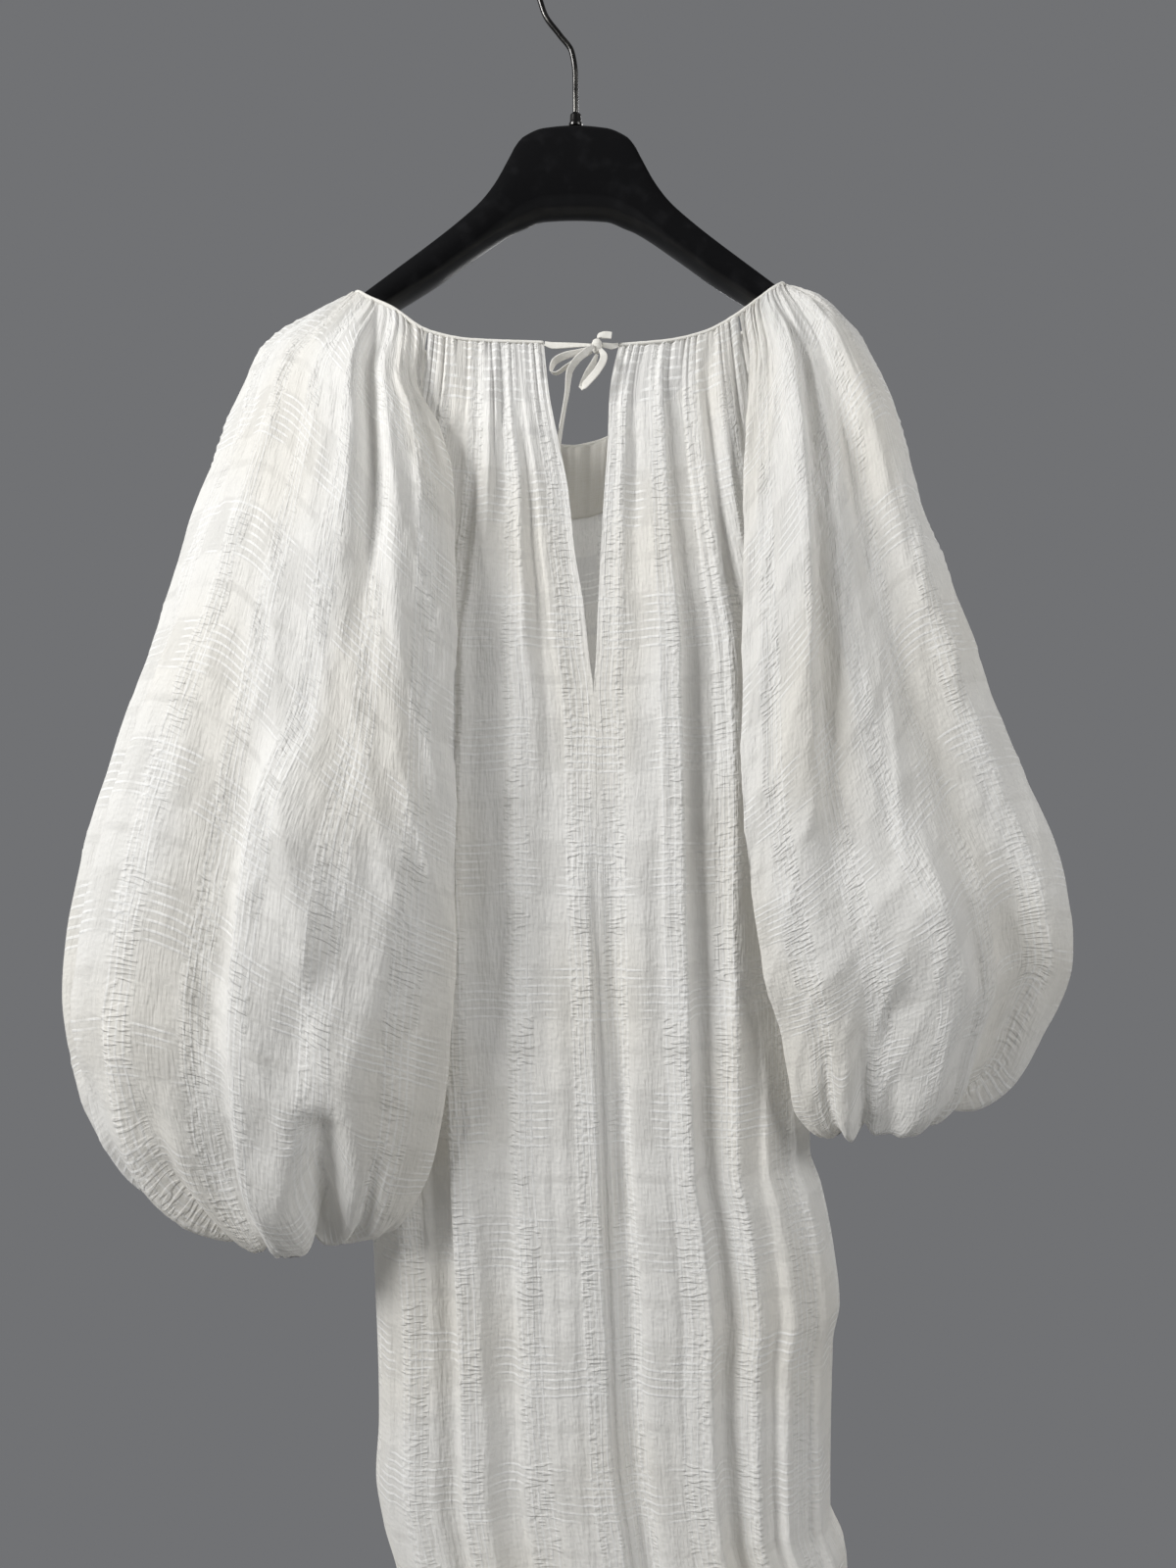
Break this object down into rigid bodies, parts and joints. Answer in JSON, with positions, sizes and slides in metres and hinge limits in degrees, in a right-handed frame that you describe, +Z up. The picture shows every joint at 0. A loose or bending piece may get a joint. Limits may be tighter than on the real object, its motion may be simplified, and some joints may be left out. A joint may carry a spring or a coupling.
{
  "type": "long dress with a gathered neck and balloon sleeves, on a suit hanger",
  "caption": "Long white crinkled cotton dress with a gathered neck, a tied front slit and raglan balloon sleeves, hung on a black shaped hanger with a metal hook.",
  "frame": {"origin": "inside top of the hook's bend, where the rail carries the hanger", "axes": "+Z up, the front of the dress faces -Y, +X to the right of someone who faces it"},
  "size_m": [0.8838, 0.2282, 1.665],
  "materials": {
    "crinkled_cotton": "semi-sheer white cotton woven in a puckered windowpane check",
    "plain_cotton": "plain opaque off-white cotton",
    "black_flock": "black flocked plastic",
    "dark_metal": "dark polished metal"
  },
  "bodies": {
    "root": {"front_left": "crinkled_cotton", "front_right": "crinkled_cotton", "back": "crinkled_cotton", "sleeve_left": "crinkled_cotton", "sleeve_right": "crinkled_cotton", "back_facing": "plain_cotton", "neck_binding": "plain_cotton", "tie_strip_left": "plain_cotton", "tie_strip_right": "plain_cotton", "bow_knot": "plain_cotton", "bow_loop_left": "plain_cotton", "bow_loop_right": "plain_cotton", "tie_tail_long": "plain_cotton", "tie_tail_short": "plain_cotton", "hanger_body": "black_flock", "hook_ferrule": "dark_metal", "hook_wire": "dark_metal"}
  },
  "joints": []
}
